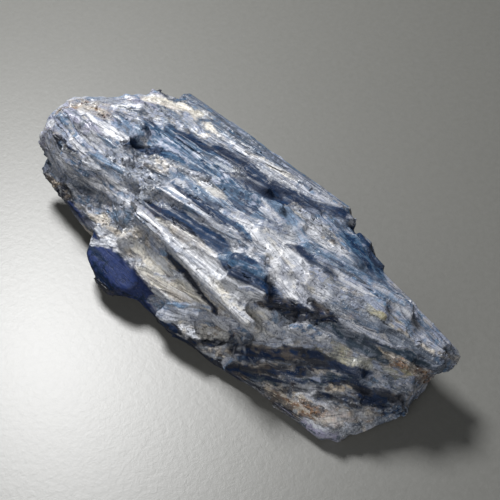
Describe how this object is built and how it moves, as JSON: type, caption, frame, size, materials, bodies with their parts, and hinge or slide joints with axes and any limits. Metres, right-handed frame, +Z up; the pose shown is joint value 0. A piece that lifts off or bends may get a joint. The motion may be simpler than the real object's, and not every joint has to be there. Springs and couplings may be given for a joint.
{
  "type": "kyanite blade cluster",
  "caption": "Rough mineral specimen: flat splintery blue-grey blades grown together side by side with quartz between them, broken on all sides, lying on its flattest side.",
  "frame": {"origin": "under the middle of the rock's box, on the surface that it rests on", "axes": "+X along the blades, which is the rock's length; +Y away from the side with the bright ridge and the lower shelf; +Z up"},
  "size_m": [0.1079, 0.048, 0.026],
  "materials": {
    "kyanite": "splintery blades with a pearly to glassy shine, streaked navy, steel blue, grey and white, with dull tan and rusty patches"
  },
  "bodies": {
    "root": {"kyanite_cluster": "kyanite"}
  },
  "joints": []
}
